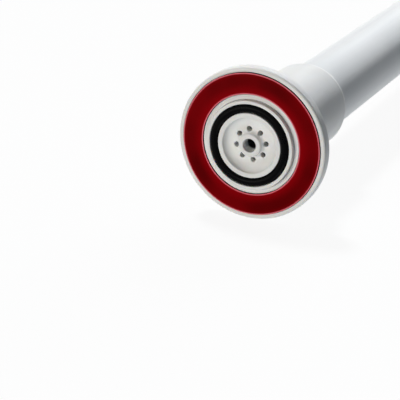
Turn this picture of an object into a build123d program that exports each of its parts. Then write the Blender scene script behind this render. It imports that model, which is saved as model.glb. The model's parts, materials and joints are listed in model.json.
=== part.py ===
from build123d import *
import os

# Extendable shower curtain rod, lying along +X between two walls, in millimetres.
# The origin is the centre of the wall face at end A. +Z is up.

# Length of the rod, wall to wall
min_length = 700.0
max_length = 1150.0
rest_length = 800.0
min_overlap = 100.0

# Tubes
outer_tube_od = 25.0
outer_tube_wall = 1.0
inner_tube_wall = 1.0
telescope_gap = 0.5

# Socket sleeve: glue plate at the wall, open socket towards the room
sleeve_length = 51.0
sleeve_wall = 2.45
sleeve_mouth_chamfer = 0.7
sleeve_face_chamfer = 0.3
socket_stop = 14.0
glue_plate = 4.5

# Seal ring and its groove in the glue plate
seal_section = 2.9
seal_proud = 0.5
seal_nose_chamfer = 0.85
seal_land = 1.15

# Dish with its boss, glue inlet and vents
dish_land = 1.6
dish_depth = 2.1
dish_slope = 2.85
boss_od = 7.6
boss_setback = 0.4
boss_draft = 0.3
inlet_bore = 4.5
inlet_chamfer = 0.25
nozzle_seat = 1.4
vent_bore = 1.8
vent_circle = 10.3
vent_count = 8
vent_clocking = -8.0

# Flange with collar, and what is stuck to it
flange_od = 51.0
flange_thickness = 4.6
flange_front_chamfer = 0.55
flange_back_chamfer = 0.7
collar_wall = 1.9
collar_length = 11.0
collar_chamfer = 0.4
bore_lip = 1.5
rim_lip = 1.55
recess_depth = 0.8
adhesive_thickness = 1.05
adhesive_gap = 0.2
liner_thickness = 0.15
liner_setback = 1.2

# Mouth ring of the outer tube
mouth_lip = 3.0
mouth_bush = 14.0
mouth_chamfer = 0.5
mouth_gap = 3.0

# Twist lock on the inner tube's end
plug_shank = 25.0
plug_shoulder = 2.0
plug_wall = 2.0
plug_floor = 3.0
glide_length = 10.0
glide_wall = 3.4
cam_length = 12.0
cam_wall = 4.4
cam_clearance = 0.3
eccentricity = 0.25
ring_slit = 1.5
ring_side_play = 0.15
ring_chamfer = 0.5
shoulder_setback = 0.9

# Shares of its depth and width at which the dish's cove is broken into cones
cove_near = 0.5
cove_far = 0.87

# How near an edge has to lie to the station and radius it is picked by
pick_tolerance = 1e-4

# Fits, all radial
socket_fit = 0.05
slide_fit = 0.1
running_fit = 0.05
press_fit = 0.02
seal_fit = 0.05

# Radii that follow from the tubes
outer_r = outer_tube_od / 2
outer_bore_r = outer_r - outer_tube_wall
inner_r = outer_bore_r - telescope_gap
inner_bore_r = inner_r - inner_tube_wall
socket_r = outer_r + socket_fit
sleeve_r = socket_r + sleeve_wall

# Radii and depths of the glue plate
groove_r = sleeve_r - seal_land
seal_r = groove_r - seal_fit
seal_inner_r = seal_r - seal_section
groove_inner_r = seal_inner_r - seal_fit
seal_depth = seal_section - seal_proud
dish_r = groove_inner_r - dish_land
dish_floor_r = dish_r - dish_slope
boss_r = boss_od / 2

# Radii and depths of the flange
flange_r = flange_od / 2
flange_bore_r = sleeve_r + slide_fit
collar_r = flange_bore_r + collar_wall
recess_inner_r = flange_bore_r + bore_lip
recess_outer_r = flange_r - rim_lip
adhesive_x = liner_setback + liner_thickness
recess_x = adhesive_x + adhesive_thickness
flange_x = recess_x - recess_depth
flange_back_x = flange_x + flange_thickness
collar_x = flange_back_x + collar_length

# Stations along the rod
outer_end_x = min_length - sleeve_length - mouth_gap - mouth_lip
inner_end_x = rest_length - max_length + outer_end_x - min_overlap
inner_stop_x = rest_length - socket_stop

# Stations of the twist lock, counted from the inner tube's end towards wall A
glide_x = inner_end_x - plug_shoulder - ring_side_play
glide_end_x = glide_x - glide_length
collar_face_x = glide_end_x - ring_side_play
cam_x = collar_face_x - plug_shoulder - ring_side_play
cam_end_x = cam_x - cam_length
nose_x = cam_end_x - ring_side_play

# Radii of the twist lock
glide_r = outer_bore_r - running_fit
glide_journal_r = glide_r - glide_wall - running_fit
cam_r = outer_bore_r - cam_clearance
cam_journal_r = cam_r - cam_wall - running_fit - eccentricity
plug_collar_r = cam_r - shoulder_setback


def turned(*outline):
    """Solid of revolution about the rod's axis, from (x, radius) corners."""
    return revolve(make_face(Polyline(*outline, close=True)), Axis.X)


def ring(start, end, outer, inner):
    return turned((start, inner), (end, inner), (end, outer), (start, outer))


def rod(start, end, radius):
    return turned((start, 0), (end, 0), (end, radius), (start, radius))


def edges_at(piece, x, radius):
    """Circular edges of a turned piece at one station and radius."""
    circles = piece.edges().filter_by(GeomType.CIRCLE)
    near = circles.filter_by(lambda edge: abs(edge.arc_center.X - x) < pick_tolerance)
    return near.filter_by(lambda edge: abs(edge.radius - radius) < pick_tolerance)


def at_far_wall(piece):
    """The same piece turned round to face wall B."""
    return Pos(rest_length, 0, 0) * Rot(0, 0, 180) * piece


def socket_sleeve():
    body = turned(
        (boss_setback, 0),
        (glue_plate, 0),
        (glue_plate, inner_bore_r),
        (socket_stop, inner_bore_r),
        (socket_stop, socket_r),
        (sleeve_length, socket_r),
        (sleeve_length, sleeve_r),
        (0, sleeve_r),
        (0, groove_r),
        (seal_depth, groove_r),
        (seal_depth, groove_inner_r),
        (0, groove_inner_r),
        (0, dish_r),
        (dish_depth * cove_near, dish_floor_r + dish_slope * cove_far),
        (dish_depth * cove_far, dish_floor_r + dish_slope * cove_near),
        (dish_depth, dish_floor_r),
        (dish_depth, boss_r + boss_draft),
        (boss_setback, boss_r),
    )
    body = chamfer(edges_at(body, sleeve_length, sleeve_r), sleeve_mouth_chamfer)
    body = chamfer(edges_at(body, 0, sleeve_r), sleeve_face_chamfer)
    body -= rod(0, glue_plate, inlet_bore / 2)
    body = chamfer(edges_at(body, boss_setback, inlet_bore / 2), inlet_chamfer)
    body = chamfer(edges_at(body, glue_plate, inlet_bore / 2), nozzle_seat)
    vent = Pos(0, vent_circle / 2, 0) * rod(0, glue_plate, vent_bore / 2)
    for number in range(vent_count):
        body -= Rot(vent_clocking + number * 360 / vent_count, 0, 0) * vent
    return body


def seal_ring():
    body = ring(-seal_proud, seal_depth, seal_r, seal_inner_r)
    nose = edges_at(body, -seal_proud, seal_r) + edges_at(body, -seal_proud, seal_inner_r)
    return chamfer(nose, seal_nose_chamfer)


def flange():
    body = turned(
        (flange_x, flange_bore_r),
        (collar_x, flange_bore_r),
        (collar_x, collar_r),
        (flange_back_x, collar_r),
        (flange_back_x, flange_r),
        (flange_x, flange_r),
        (flange_x, recess_outer_r),
        (recess_x, recess_outer_r),
        (recess_x, recess_inner_r),
        (flange_x, recess_inner_r),
    )
    body = chamfer(edges_at(body, flange_x, flange_r), flange_front_chamfer)
    body = chamfer(edges_at(body, flange_back_x, flange_r), flange_back_chamfer)
    return chamfer(edges_at(body, collar_x, collar_r), collar_chamfer)


def stuck_ring(start, thickness):
    """Flat ring that lies in the flange's recess with room all round."""
    return ring(start, start + thickness, recess_outer_r - adhesive_gap, recess_inner_r + adhesive_gap)


def mouth_ring():
    bore = inner_r + running_fit
    lip_end = outer_end_x + mouth_lip
    body = ring(outer_end_x - mouth_bush, outer_end_x, outer_bore_r - press_fit, bore)
    body += ring(outer_end_x, lip_end, outer_r, bore)
    return chamfer(edges_at(body, lip_end, outer_r), mouth_chamfer)


def reducing_bush():
    start = rest_length - sleeve_length
    return ring(start, inner_stop_x, socket_r - press_fit, inner_r + press_fit)


def eccentric(piece):
    return Pos(0, 0, eccentricity) * piece


def slit(start, end, radius):
    """Cut that opens a ring on its lower side, so that it can be sprung over its journal."""
    return Pos((start + end) / 2, 0, -radius / 2) * Box(end - start, ring_slit, radius)


def lock_plug():
    body = rod(inner_end_x, inner_end_x + plug_shank, inner_bore_r - press_fit)
    body -= rod(inner_end_x + plug_floor, inner_end_x + plug_shank, inner_bore_r - press_fit - plug_wall)
    body += rod(inner_end_x - plug_shoulder, inner_end_x, inner_r)
    body += rod(collar_face_x, inner_end_x - plug_shoulder, glide_journal_r)
    body += rod(collar_face_x - plug_shoulder, collar_face_x, plug_collar_r)
    body += eccentric(rod(nose_x, collar_face_x - plug_shoulder, cam_journal_r))
    return body + rod(nose_x - plug_shoulder, nose_x, plug_collar_r)


def glide_ring():
    body = ring(glide_end_x, glide_x, glide_r, glide_journal_r + running_fit)
    body = chamfer(edges_at(body, glide_end_x, glide_r) + edges_at(body, glide_x, glide_r), ring_chamfer)
    return body - slit(glide_end_x, glide_x, outer_r)


def lock_cam():
    body = rod(cam_end_x, cam_x, cam_r)
    body = chamfer(edges_at(body, cam_end_x, cam_r) + edges_at(body, cam_x, cam_r), ring_chamfer)
    body -= eccentric(rod(cam_end_x, cam_x, cam_journal_r + running_fit))
    return body - slit(cam_end_x, cam_x, outer_r)


parts = {
    "outer_tube": ring(socket_stop, outer_end_x, outer_r, outer_bore_r),
    "inner_tube": ring(inner_end_x, inner_stop_x, inner_r, inner_bore_r),
    "mouth_ring": mouth_ring(),
    "reducing_bush": reducing_bush(),
    "lock_plug": lock_plug(),
    "glide_ring": glide_ring(),
    "lock_cam": lock_cam(),
}
end_pieces = {
    "socket_sleeve": socket_sleeve(),
    "seal_ring": seal_ring(),
    "flange": flange(),
    "adhesive_ring": stuck_ring(adhesive_x, adhesive_thickness),
    "release_liner": stuck_ring(liner_setback, liner_thickness),
}
for name, piece in end_pieces.items():
    parts[name + "_a"] = piece
    parts[name + "_b"] = at_far_wall(piece)

os.makedirs("parts", exist_ok=True)
for name, piece in parts.items():
    piece.label = name
    export_step(piece, "parts/" + name + ".step")
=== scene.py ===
import json
import math
import bmesh
import bpy
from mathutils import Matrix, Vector

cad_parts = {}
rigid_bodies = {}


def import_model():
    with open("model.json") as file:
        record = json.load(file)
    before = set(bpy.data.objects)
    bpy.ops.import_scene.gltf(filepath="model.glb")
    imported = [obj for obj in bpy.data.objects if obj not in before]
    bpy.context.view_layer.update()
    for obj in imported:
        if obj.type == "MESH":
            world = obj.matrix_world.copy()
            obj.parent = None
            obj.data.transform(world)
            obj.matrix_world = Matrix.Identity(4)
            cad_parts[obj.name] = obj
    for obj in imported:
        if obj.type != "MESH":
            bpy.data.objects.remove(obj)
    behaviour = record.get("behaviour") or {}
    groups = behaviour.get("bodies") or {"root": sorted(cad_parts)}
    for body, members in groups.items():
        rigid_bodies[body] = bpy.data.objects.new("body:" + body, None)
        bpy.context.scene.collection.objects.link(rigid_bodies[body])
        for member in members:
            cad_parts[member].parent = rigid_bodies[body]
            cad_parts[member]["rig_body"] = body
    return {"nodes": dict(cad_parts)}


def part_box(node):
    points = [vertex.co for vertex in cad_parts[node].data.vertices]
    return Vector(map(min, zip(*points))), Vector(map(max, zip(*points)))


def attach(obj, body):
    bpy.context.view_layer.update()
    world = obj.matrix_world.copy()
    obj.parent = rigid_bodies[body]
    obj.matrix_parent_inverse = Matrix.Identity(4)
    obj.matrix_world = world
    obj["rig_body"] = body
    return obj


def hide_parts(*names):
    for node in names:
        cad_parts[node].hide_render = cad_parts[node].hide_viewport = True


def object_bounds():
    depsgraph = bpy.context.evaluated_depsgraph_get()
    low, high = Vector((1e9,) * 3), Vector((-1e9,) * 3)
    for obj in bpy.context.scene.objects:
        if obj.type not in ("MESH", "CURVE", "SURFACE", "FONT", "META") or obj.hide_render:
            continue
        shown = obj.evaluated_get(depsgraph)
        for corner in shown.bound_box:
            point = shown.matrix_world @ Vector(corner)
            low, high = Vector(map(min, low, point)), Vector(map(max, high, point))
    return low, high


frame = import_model()
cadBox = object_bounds()
mm = 0.001
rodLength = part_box("socket_sleeve_b")[1].x / mm  # wall to wall, at rest


# selecting and shaping

turning = {
    "sides": 192, "roundSteps": 5, "smoothAngle": 35,
    "slack": 0.004,  # how near a point lies to the corner it is picked by, in mm
}


def clearSelection():
    if bpy.context.mode != "OBJECT":
        bpy.ops.object.mode_set(mode="OBJECT")
    bpy.ops.object.select_all(action="DESELECT")


def makeActive(piece):
    clearSelection()
    piece.select_set(True)
    bpy.context.view_layer.objects.active = piece


def startEdit(piece):
    makeActive(piece)
    bpy.ops.object.mode_set(mode="EDIT")
    bpy.ops.mesh.select_mode(type="EDGE")
    bpy.ops.mesh.select_all(action="SELECT")


def nearCorner(vertex, corner):
    x, radius = corner
    slack = turning["slack"] * mm
    distance = math.hypot(vertex.co.y, vertex.co.z)
    return abs(vertex.co.x - x * mm) < slack and abs(distance - radius * mm) < slack


def pickLoops(piece, *corners):  # the round edges that lie on the given (x, radius) corners
    bpy.ops.mesh.select_all(action="DESELECT")
    shape = bmesh.from_edit_mesh(piece.data)
    for edge in shape.edges:
        edge.select_set(any(all(nearCorner(v, corner) for v in edge.verts) for corner in corners))
    shape.select_flush_mode()
    bmesh.update_edit_mesh(piece.data)


def turnPiece(name, outline, capped=False, sides=turning["sides"]):  # outline: (x, radius) corners in mm
    clearSelection()
    x, radius = outline[0]
    bpy.ops.mesh.primitive_circle_add(
        vertices=sides, radius=radius * mm, location=(x * mm, 0, 0), rotation=(0, math.pi / 2, 0)
    )
    piece = bpy.context.object
    piece.name = name
    bpy.ops.object.transform_apply(location=True, rotation=True, scale=True)
    startEdit(piece)
    for (x, radius), (nextX, nextRadius) in zip(outline, outline[1:]):
        bpy.ops.mesh.extrude_region_move(TRANSFORM_OT_translate={"value": ((nextX - x) * mm, 0, 0)})
        share = nextRadius / radius
        bpy.ops.transform.resize(value=(1, share, share), center_override=(nextX * mm, 0, 0))
    if capped:
        for corner in (outline[0], outline[-1]):
            pickLoops(piece, corner)
            bpy.ops.mesh.edge_face_add()
    else:
        pickLoops(piece, outline[0], outline[-1])
        bpy.ops.mesh.bridge_edge_loops()
    bpy.ops.mesh.select_all(action="SELECT")
    bpy.ops.mesh.normals_make_consistent(inside=False)
    bpy.ops.object.mode_set(mode="OBJECT")
    return piece


def turnRing(name, start, end, inside, outside):
    return turnPiece(name, [(start, inside), (end, inside), (end, outside), (start, outside)])


def roundEdges(piece, rounds, steps=turning["roundSteps"]):  # rounds: (x, radius, size) in mm
    startEdit(piece)
    for x, radius, size in rounds:
        pickLoops(piece, (x, radius))
        bpy.ops.mesh.bevel(
            offset=size * mm, offset_type="OFFSET", segments=steps, profile=0.5, affect="EDGES"
        )
    bpy.ops.object.mode_set(mode="OBJECT")


def cutAway(piece, cutter):
    makeActive(piece)
    cut = piece.modifiers.new("cut", "BOOLEAN")
    cut.operation = "DIFFERENCE"
    cut.solver = "EXACT"
    cut.object = cutter
    bpy.ops.object.modifier_apply(modifier=cut.name)
    makeActive(cutter)
    bpy.ops.object.delete()


def smoothPiece(piece, angle=turning["smoothAngle"]):
    makeActive(piece)
    bpy.ops.object.shade_smooth_by_angle(angle=math.radians(angle))
    weighted = piece.modifiers.new("weighted", "WEIGHTED_NORMAL")
    weighted.keep_sharp = True
    bpy.ops.object.modifier_apply(modifier=weighted.name)


def copyPiece(piece, name):
    makeActive(piece)
    bpy.ops.object.duplicate(linked=False)
    copied = bpy.context.object
    copied.name = name
    return copied


def copyToFarWall(piece, name):  # the same piece, turned half round in its mesh
    copied = copyPiece(piece, name)
    startEdit(copied)
    bpy.ops.transform.rotate(
        value=math.pi, orient_axis="Z", center_override=(rodLength / 2 * mm, 0, 0)
    )
    bpy.ops.object.mode_set(mode="OBJECT")
    return copied


def reachOf(node):  # where a node starts and ends along the rod, in mm
    low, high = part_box(node)
    return low.x / mm, high.x / mm


# finishes

def paint(red, green, blue):  # a screen colour, 0 to 255, as Blender's linear colour
    shares = [level / 255 for level in (red, green, blue)]
    linear = [s / 12.92 if s <= 0.04045 else ((s + 0.055) / 1.055) ** 2.4 for s in shares]
    return (*linear, 1.0)


class Value:  # one node output; sums on it add Math nodes
    def __init__(self, mix, socket):
        self.mix = mix
        self.socket = socket

    def maths(self, operation, first, second):
        return self.mix.node("ShaderNodeMath", {"operation": operation}, {0: first, 1: second})

    def __add__(self, other):
        return self.maths("ADD", self, other)

    def __radd__(self, other):
        return self.maths("ADD", other, self)

    def __sub__(self, other):
        return self.maths("SUBTRACT", self, other)

    def __rsub__(self, other):
        return self.maths("SUBTRACT", other, self)

    def __mul__(self, other):
        return self.maths("MULTIPLY", self, other)

    def __rmul__(self, other):
        return self.maths("MULTIPLY", other, self)


class NodeMix:  # the nodes of one material or of the world
    def __init__(self, owner):
        owner.use_nodes = True
        self.tree = owner.node_tree

    def plug(self, socket, value):
        if isinstance(value, Value):
            self.tree.links.new(value.socket, socket)
        else:
            socket.default_value = value

    def node(self, kind, settings, sockets, output=0):
        made = self.tree.nodes.new(kind)
        for name, setting in settings.items():
            setattr(made, name, setting)
        for name, value in sockets.items():
            self.plug(made.inputs[name], value)
        return Value(self, made.outputs[output])

    def place(self):
        return self.node("ShaderNodeTexCoord", {}, {}, "Object")

    def stretched(self, scale):
        return self.node("ShaderNodeMapping", {}, {"Vector": self.place(), "Scale": scale})

    def fromAxis(self):  # distance from the rod's axis, in mm
        across = self.stretched((0, 1, 1))
        metres = self.node("ShaderNodeVectorMath", {"operation": "LENGTH"}, {0: across}, "Value")
        return metres * (1 / mm)

    def noise(self, size, detail=2.0, vector=None):  # size: the width of one patch, in mm
        where = vector or self.place()
        sockets = {"Vector": where, "Scale": 1 / (size * mm), "Detail": detail}
        return self.node("ShaderNodeTexNoise", {}, sockets)

    def blend(self, share, first, second):
        return self.node("ShaderNodeMix", {"data_type": "RGBA"}, {0: share, 6: first, 7: second}, 2)

    def ramp(self, share, low, high):  # 0 below low, 1 above high
        sockets = {"Value": share, "From Min": low, "From Max": high}
        return self.node("ShaderNodeMapRange", {"interpolation_type": "SMOOTHSTEP"}, sockets)

    def mottle(self, share, look):  # drifts from the look's first colour to its second
        return self.blend(self.ramp(share, *look["spread"]), *look["colours"])

    def bump(self, height, look):
        sockets = {"Height": height, "Distance": look["bumpDepth"] * mm, "Strength": look["bump"]}
        return self.node("ShaderNodeBump", {}, sockets)


def newFinish(name, look, build):
    finish = bpy.data.materials.new(name)
    mix = NodeMix(finish)
    shader = mix.tree.nodes["Principled BSDF"]
    for socketName, value in {**look["shader"], **build(mix, look)}.items():
        mix.plug(shader.inputs[socketName], value)
    return finish


# each look gives the width of its patches in mm, and what they add to the roughness

mouldedLook = {
    "colours": (paint(236, 236, 234), paint(231, 231, 230)), "spread": (0.3, 0.7),
    "cloud": 14, "cloudDetail": 3, "grain": 0.35,
    "roughness": 0.3, "cloudRough": 0.12, "grainRough": 0.05, "bump": 0.25, "bumpDepth": 0.02,
    "shader": {
        "Specular IOR Level": 0.15, "Subsurface Weight": 0.25,
        "Subsurface Scale": 0.7 * mm, "Subsurface Radius": (1.0, 0.75, 0.5),
    },
}


def mouldedWhite(mix, look):
    cloud = mix.noise(look["cloud"], look["cloudDetail"])
    grain = mix.noise(look["grain"])
    return {
        "Base Color": mix.mottle(cloud, look),
        "Roughness": look["roughness"] + look["cloudRough"] * cloud + look["grainRough"] * grain,
        "Normal": mix.bump(grain, look),
    }


coatedLook = {
    "colours": (paint(236, 237, 237), paint(230, 232, 233)), "spread": (0.3, 0.7),
    "drawn": 2.5, "drawnDetail": 3, "drawnStretch": (0.02, 1, 1), "drawnShare": 0.6,
    "cloud": 40, "peel": 1.3,
    "roughness": 0.26, "cloudRough": 0.12, "peelRough": 0.06, "bump": 0.12, "bumpDepth": 0.02,
    "shader": {"Specular IOR Level": 0.12},
}


def coatedWhite(mix, look):
    along = mix.stretched(look["drawnStretch"])
    drawn = mix.noise(look["drawn"], look["drawnDetail"], along)  # faint lines along the tube
    cloud = mix.noise(look["cloud"])
    peel = mix.noise(look["peel"])
    tint = look["drawnShare"] * drawn + (1 - look["drawnShare"]) * cloud
    return {
        "Base Color": mix.mottle(tint, look),
        "Roughness": look["roughness"] + look["cloudRough"] * cloud + look["peelRough"] * peel,
        "Normal": mix.bump(peel, look),
    }


stuckShape = {"inside": 16.8, "outside": 23.75, "foamRound": 0.1, "filmRound": 0.05, "roundSteps": 3}

linerLook = {
    "colours": (paint(94, 0, 3), paint(119, 0, 6)), "spread": (0.35, 0.65),
    # painted sheen on the film, lighter near its inner and outer edges
    "paintedSheenColour": paint(138, 0, 9), "innerPaintedSheen": 3.8, "outerPaintedSheen": 1.9, "outerShare": 0.5,
    # painted highlight on the film's cut edges
    "edgeHighlightColour": paint(242, 120, 134), "edgeHighlightReach": 0.5, "edgeHighlightCore": 0.1,
    "patch": 22, "crease": 1.6,
    "roughness": 0.25, "patchRough": 0.12, "bump": 0.15, "bumpDepth": 0.02,
    "shader": {"Specular IOR Level": 0.01},
}


def linerRed(mix, look):
    inside, outside = stuckShape["inside"], stuckShape["outside"]
    patches = mix.noise(look["patch"])
    creases = mix.noise(look["crease"])
    outward = mix.fromAxis()
    # painted sheen: lighter film within reach of the inner edge, and half as much near the outer edge
    innerPaintedSheen = 1 - mix.ramp(outward, inside, inside + look["innerPaintedSheen"])
    outerPaintedSheen = mix.ramp(outward, outside - look["outerPaintedSheen"], outside)
    paintedSheen = innerPaintedSheen + look["outerShare"] * outerPaintedSheen
    film = mix.blend(paintedSheen, mix.mottle(patches, look), look["paintedSheenColour"])  # painted sheen: brighter towards its edges
    # painted highlight: pale pink bands within half a millimetre of both cut edges
    innerEdgeHighlight = 1 - mix.ramp(outward, inside + look["edgeHighlightCore"], inside + look["edgeHighlightReach"])
    outerEdgeHighlight = mix.ramp(outward, outside - look["edgeHighlightReach"], outside - look["edgeHighlightCore"])
    return {
        "Base Color": mix.blend(innerEdgeHighlight + outerEdgeHighlight, film, look["edgeHighlightColour"]),  # painted highlight along both cut edges
        "Roughness": look["roughness"] + look["patchRough"] * patches,
        "Normal": mix.bump(creases, look),
    }


sealLook = {
    "colours": (paint(2, 2, 3), paint(7, 8, 9)), "spread": (0.4, 0.8),
    "dust": 0.5, "dustDetail": 3, "cloud": 6,
    "roughness": 0.22, "cloudRough": 0.12, "bump": 0.2, "bumpDepth": 0.02,
    "shader": {"Specular IOR Level": 0.03},
}


def sealBlack(mix, look):
    dust = mix.noise(look["dust"], look["dustDetail"])
    cloud = mix.noise(look["cloud"])
    return {
        "Base Color": mix.mottle(dust, look),
        "Roughness": look["roughness"] + look["cloudRough"] * cloud,
        "Normal": mix.bump(dust, look),
    }


foamLook = {
    "colours": (paint(16, 15, 16), paint(46, 44, 44)), "spread": (0.1, 0.6),
    "cell": 0.3,
    "roughness": 0.8, "cellRough": 0.15, "bump": 0.8, "bumpDepth": 0.12,
    "shader": {"Specular IOR Level": 0.1},
}


def foamDark(mix, look):
    sockets = {"Vector": mix.place(), "Scale": 1 / (look["cell"] * mm)}
    cells = mix.node("ShaderNodeTexVoronoi", {}, sockets)
    return {
        "Base Color": mix.mottle(cells, look),
        "Roughness": look["roughness"] + look["cellRough"] * cells,
        "Normal": mix.bump(cells, look),
    }


nylonLook = {
    "colours": (paint(224, 220, 206), paint(214, 210, 197)), "spread": (0.3, 0.7),
    "cloud": 8, "cloudDetail": 3, "grain": 0.4,
    "roughness": 0.42, "cloudRough": 0.14, "bump": 0.25, "bumpDepth": 0.02,
    "shader": {"Specular IOR Level": 0.35},
}


def glideNylon(mix, look):
    cloud = mix.noise(look["cloud"], look["cloudDetail"])
    grain = mix.noise(look["grain"])
    return {
        "Base Color": mix.mottle(cloud, look),
        "Roughness": look["roughness"] + look["cloudRough"] * cloud,
        "Normal": mix.bump(grain, look),
    }


finishes = {  # by the record's slots
    "white_plastic": newFinish("mouldedWhite", mouldedLook, mouldedWhite),
    "coated_tube": newFinish("coatedWhite", coatedLook, coatedWhite),
    "red_film": newFinish("linerRed", linerLook, linerRed),
    "black_rubber": newFinish("sealBlack", sealLook, sealBlack),
    "dark_foam": newFinish("foamDark", foamLook, foamDark),
    "nylon": newFinish("glideNylon", nylonLook, glideNylon),
}
print("finishes mixed:", ", ".join(finishes))


def dressPiece(piece, slotName):
    piece.data.materials.clear()
    piece.data.materials.append(finishes[slotName])


def placePiece(piece, node, slotName):
    piece.data.name = piece.name
    dressPiece(piece, slotName)
    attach(piece, frame["nodes"][node]["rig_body"])
    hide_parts(node)


# flange with its collar, and the foam and film stuck in its recess

flangeShape = {
    "rim": 25.5, "bore": 15.1, "collar": 17.0, "plate": 4.6,
    "recessIn": 16.6, "recessOut": 23.95, "recess": 0.8,
    "frontRound": 0.8, "backRound": 1.2, "collarRound": 0.5, "rootRound": 0.5, "lipRound": 0.15,
}


def makeFlange(name):
    s = flangeShape
    front, collarEnd = reachOf("flange_a")
    back = front + s["plate"]
    floor = front + s["recess"]
    flange = turnPiece(name, [
        (front, s["bore"]), (collarEnd, s["bore"]), (collarEnd, s["collar"]), (back, s["collar"]),
        (back, s["rim"]), (front, s["rim"]), (front, s["recessOut"]), (floor, s["recessOut"]),
        (floor, s["recessIn"]), (front, s["recessIn"]),
    ])
    roundEdges(flange, [
        (front, s["rim"], s["frontRound"]), (back, s["rim"], s["backRound"]),
        (collarEnd, s["collar"], s["collarRound"]), (back, s["collar"], s["rootRound"]),
        (front, s["recessOut"], s["lipRound"]), (front, s["recessIn"], s["lipRound"]),
        (front, s["bore"], s["lipRound"]), (collarEnd, s["bore"], s["lipRound"]),
    ])
    smoothPiece(flange)
    return flange


def makeStuckRing(name, node, edgeRound):
    s = stuckShape
    front, back = reachOf(node)
    stuck = turnRing(name, front, back, s["inside"], s["outside"])
    rounds = [(front, s["inside"], edgeRound), (front, s["outside"], edgeRound)]
    roundEdges(stuck, rounds, s["roundSteps"])
    smoothPiece(stuck)
    return stuck


# socket sleeve: glue plate with dish, inlet and vents, groove for the seal, socket behind

sleeveShape = {
    "outside": 15.0, "socket": 12.55, "stop": 14.0, "chamber": 10.0, "plate": 4.5,
    "grooveIn": 10.85, "grooveOut": 13.85, "grooveDepth": 2.4,
    "dish": 9.25, "dishFloor": 6.4, "dishDepth": 2.1, "coveSteps": 10, "brimRound": 0.3,
    "boss": 3.8, "bossFoot": 5.1, "bossTop": 0.4, "footSteps": 7, "bossRound": 0.35,
    "lip": 14.45, "lipLength": 2.4, "mouthRound": 0.4,
    "faceRound": 0.3, "landRound": 0.15, "socketRound": 0.3,
    "inlet": 2.25, "inletRound": 0.28, "inletSides": 64,
    "vent": 0.9, "ventRound": 0.08, "ventSides": 32,
    "ventCircle": 5.15, "ventCount": 8, "ventStart": -8.0,
}
cutterShape = {
    "overrun": 1.0,  # how far it sticks out of the plate, in mm
    "rise": 0.01, "roundShare": 0.98, "roundSteps": 4,  # the flare stops just short of the face it cuts
}


def makeCutter(name, radius, rimRound, level, sides):  # flares at its level, to leave a rounded rim
    c = cutterShape
    flare = level - c["rise"]
    wide = radius + rimRound
    end = sleeveShape["plate"] + c["overrun"]
    outline = [(-c["overrun"], wide), (flare, wide), (flare, radius), (end, radius)]
    cutter = turnPiece(name, outline, True, sides)
    roundEdges(cutter, [(flare, radius, rimRound * c["roundShare"])], c["roundSteps"])
    return cutter


def makeVentCutters():
    s = sleeveShape
    first = makeCutter("ventCutter", s["vent"], s["ventRound"], s["dishDepth"], s["ventSides"])
    start = math.radians(s["ventStart"])
    startEdit(first)
    away = (0, s["ventCircle"] * mm * math.cos(start), s["ventCircle"] * mm * math.sin(start))
    bpy.ops.transform.translate(value=away)
    bpy.ops.object.mode_set(mode="OBJECT")
    cutters = [first]
    for number in range(1, s["ventCount"]):
        cutter = copyPiece(first, "ventCutter" + str(number))
        startEdit(cutter)
        turn = 2 * math.pi * number / s["ventCount"]
        bpy.ops.transform.rotate(value=turn, orient_axis="X", center_override=(0, 0, 0))
        bpy.ops.object.mode_set(mode="OBJECT")
        cutters.append(cutter)
    return cutters


def coveOutline(top, topRadius, floor, floorRadius, steps):  # hollow quarter round, down to the floor
    turns = [math.pi / 2 * step / steps for step in range(steps + 1)]
    depth = floor - top
    width = topRadius - floorRadius
    return [(top + depth * math.sin(a), floorRadius + width * math.cos(a)) for a in turns]


def makeSleeve(name):
    s = sleeveShape
    front, mouth = reachOf("socket_sleeve_a")
    depth = front + s["grooveDepth"]
    floor = front + s["dishDepth"]
    bossTop = front + s["bossTop"]
    sleeve = turnPiece(name, [
        *coveOutline(bossTop, s["boss"], floor, s["bossFoot"], s["footSteps"]),
        *reversed(coveOutline(front, s["dish"], floor, s["dishFloor"], s["coveSteps"])),
        (front, s["grooveIn"]), (depth, s["grooveIn"]), (depth, s["grooveOut"]), (front, s["grooveOut"]),
        (front, s["outside"]),
        (mouth - s["lipLength"], s["outside"]), (mouth, s["lip"]), (mouth, s["socket"]),
        (s["stop"], s["socket"]), (s["stop"], s["chamber"]), (s["plate"], s["chamber"]),
    ], capped=True)
    roundEdges(sleeve, [
        (bossTop, s["boss"], s["bossRound"]), (front, s["dish"], s["brimRound"]),
        (front, s["grooveIn"], s["landRound"]), (front, s["grooveOut"], s["landRound"]),
        (front, s["outside"], s["faceRound"]), (mouth, s["lip"], s["mouthRound"]),
        (mouth, s["socket"], s["socketRound"]),
    ])
    inletCutter = makeCutter("inletCutter", s["inlet"], s["inletRound"], s["bossTop"], s["inletSides"])
    cutAway(sleeve, inletCutter)
    for cutter in makeVentCutters():
        cutAway(sleeve, cutter)
    smoothPiece(sleeve)
    return sleeve


# seal ring in the glue plate's groove

sealShape = {
    "inside": 10.9, "outside": 13.8, "smoothAngle": 60,
    "noseRound": 1.4, "noseSteps": 10, "backRound": 0.9, "backSteps": 6,
}


def makeSeal(name):
    s = sealShape
    front, back = reachOf("seal_ring_a")
    seal = turnRing(name, front, back, s["inside"], s["outside"])
    nose = [(front, s["inside"], s["noseRound"]), (front, s["outside"], s["noseRound"])]
    heel = [(back, s["inside"], s["backRound"]), (back, s["outside"], s["backRound"])]
    roundEdges(seal, nose, s["noseSteps"])
    roundEdges(seal, heel, s["backSteps"])
    smoothPiece(seal, s["smoothAngle"])
    return seal


# tubes and the ring in the outer tube's mouth

tubeShape = {"outerRadius": 12.5, "innerRadius": 11.0, "wall": 1.0, "endRound": 0.12, "roundSteps": 3}


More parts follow.
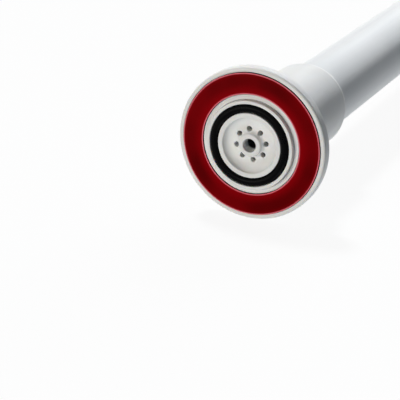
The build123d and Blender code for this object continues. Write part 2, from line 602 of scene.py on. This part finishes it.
def makeTube(name, node, radius):
    s = tubeShape
    start, end = reachOf(node)
    bore = radius - s["wall"]
    tube = turnRing(name, start, end, bore, radius)
    corners = [(start, bore), (end, bore), (end, radius), (start, radius)]
    roundEdges(tube, [(*corner, s["endRound"]) for corner in corners], s["roundSteps"])
    smoothPiece(tube)
    return tube


mouthShape = {
    "bore": 11.05, "bush": 11.48, "lip": 12.5, "lipLength": 3.0, "lipRound": 0.7, "boreRound": 0.25,
}


def makeMouthRing(name):
    s = mouthShape
    start, end = reachOf("mouth_ring")
    seat = end - s["lipLength"]
    ring = turnPiece(name, [
        (start, s["bore"]), (end, s["bore"]), (end, s["lip"]),
        (seat, s["lip"]), (seat, s["bush"]), (start, s["bush"]),
    ])
    roundEdges(ring, [(end, s["lip"], s["lipRound"]), (end, s["bore"], s["boreRound"])])
    smoothPiece(ring)
    return ring


flangeA = makeFlange("wallFlangeA")
foamA = makeStuckRing("foamRingA", "adhesive_ring_a", stuckShape["foamRound"])
filmA = makeStuckRing("filmRingA", "release_liner_a", stuckShape["filmRound"])
sleeveA = makeSleeve("socketSleeveA")
sealA = makeSeal("sealRingA")
endPieces = [  # new piece, the node it stands for, its slot
    (flangeA, "flange", "white_plastic"), (foamA, "adhesive_ring", "dark_foam"),
    (filmA, "release_liner", "red_film"), (sleeveA, "socket_sleeve", "white_plastic"),
    (sealA, "seal_ring", "black_rubber"),
]
for piece, node, slotName in endPieces:
    farPiece = copyToFarWall(piece, piece.name[:-1] + "B")
    placePiece(piece, node + "_a", slotName)
    placePiece(farPiece, node + "_b", slotName)
print("end pieces made:", len(endPieces), "at each wall")

outerTube = makeTube("outerTube", "outer_tube", tubeShape["outerRadius"])
innerTube = makeTube("innerTube", "inner_tube", tubeShape["innerRadius"])
placePiece(outerTube, "outer_tube", "coated_tube")
placePiece(innerTube, "inner_tube", "coated_tube")
placePiece(makeMouthRing("mouthRing"), "mouth_ring", "white_plastic")
print("tubes and mouth ring made")

keptNodes = {
    "reducing_bush": "white_plastic", "lock_plug": "nylon", "glide_ring": "nylon", "lock_cam": "nylon",
}
for node, slotName in keptNodes.items():
    dressPiece(frame["nodes"][node], slotName)
print("kept in shape, with new finishes:", ", ".join(keptNodes))


# floor, light and camera

studio = {
    "floorWidth": 60.0, "floorWhite": 0.92,
    "floorColour": paint(245, 245, 245), "floorBounce": paint(82, 89, 95),
    "ambient": (0.012, 0.016, 0.021, 1.0), "white": (1.0, 1.0, 1.0, 1.0),
    "lamps": {  # where it stands, strength, width in degrees, colour
        "topLamp": ((0.30, 0.388, 0.872), 2.25, 10, (0.975, 0.988, 1.0)),
        "backLamp": ((0.90, -0.076, 0.429), 1.3, 44, (0.93, 0.97, 1.0)),
        "sideLamp": ((-0.905, 0.415, 0.095), 2.05, 40, (1.0, 0.968, 0.905)),
        "lowLamp": ((-0.50, -0.38, -0.78), 0.85, 12, (0.94, 0.97, 1.0)),
        "underLamp": ((0.35, -0.16, -0.923), 0.9, 12, (0.94, 0.97, 1.0)),
    },
}


def seenDirectly(mix):  # 1 for what the camera sees, also through a mirror or glass
    rays = ("Is Camera Ray", "Is Glossy Ray", "Is Transmission Ray")
    straight, mirrored, through = [mix.node("ShaderNodeLightPath", {}, {}, name) for name in rays]
    total = straight + mirrored + through
    return mix.node("ShaderNodeMath", {"operation": "MINIMUM"}, {0: total, 1: 1.0})


def makeFloor():
    clearSelection()
    bpy.ops.mesh.primitive_plane_add(size=studio["floorWidth"], location=(0, 0, cadBox[0].z))
    floor = bpy.context.object
    floor.name = "floor"
    finish = bpy.data.materials.new("floorPale")
    mix = NodeMix(finish)
    mix.tree.nodes.remove(mix.tree.nodes["Principled BSDF"])
    seen = seenDirectly(mix)
    colour = mix.blend(seen, studio["floorBounce"], studio["floorColour"])  # throws little light back up
    matt = mix.node("ShaderNodeBsdfDiffuse", {}, {"Color": colour})
    white = mix.node("ShaderNodeEmission", {}, {"Color": studio["white"], "Strength": 1.0})
    shown = mix.node("ShaderNodeMixShader", {}, {0: seen * studio["floorWhite"], 1: matt, 2: white})
    mix.plug(mix.tree.nodes["Material Output"].inputs["Surface"], shown)
    floor.data.materials.append(finish)
    floor.visible_shadow = False  # the two low lamps shine up through it, as through a light table


def makeWorld():
    world = bpy.data.worlds.new("studio")
    bpy.context.scene.world = world
    mix = NodeMix(world)
    colour = mix.blend(seenDirectly(mix), studio["ambient"], studio["white"])
    mix.plug(mix.tree.nodes["Background"].inputs["Color"], colour)


def makeLamps():
    for name, (place, strength, width, colour) in studio["lamps"].items():
        clearSelection()
        bpy.ops.object.light_add(type="SUN", location=place)
        lamp = bpy.context.object
        lamp.name = name
        lamp.rotation_euler = Vector(place).to_track_quat("Z", "Y").to_euler()
        lamp.data.energy = strength
        lamp.data.angle = math.radians(width)
        lamp.data.color = colour


cameraShape = {
    "place": (-390.18, -167.75, 144.28), "towards": (0.8437, 0.4000, -0.3581),
    "lens": 126, "sensor": 36,
    "nearest": 0.01, "farthest": 200,  # what it can see, in metres
}


def makeCamera():
    s = cameraShape
    clearSelection()
    bpy.ops.object.camera_add(location=[value * mm for value in s["place"]])
    camera = bpy.context.object
    camera.rotation_euler = Vector(s["towards"]).to_track_quat("-Z", "Y").to_euler()
    camera.data.lens = s["lens"]
    camera.data.sensor_width = s["sensor"]
    camera.data.clip_start = s["nearest"]
    camera.data.clip_end = s["farthest"]
    bpy.context.scene.camera = camera


makeFloor()
makeWorld()
makeLamps()
makeCamera()
bpy.context.scene.view_settings.view_transform = "Standard"
print("floor, light and camera set")
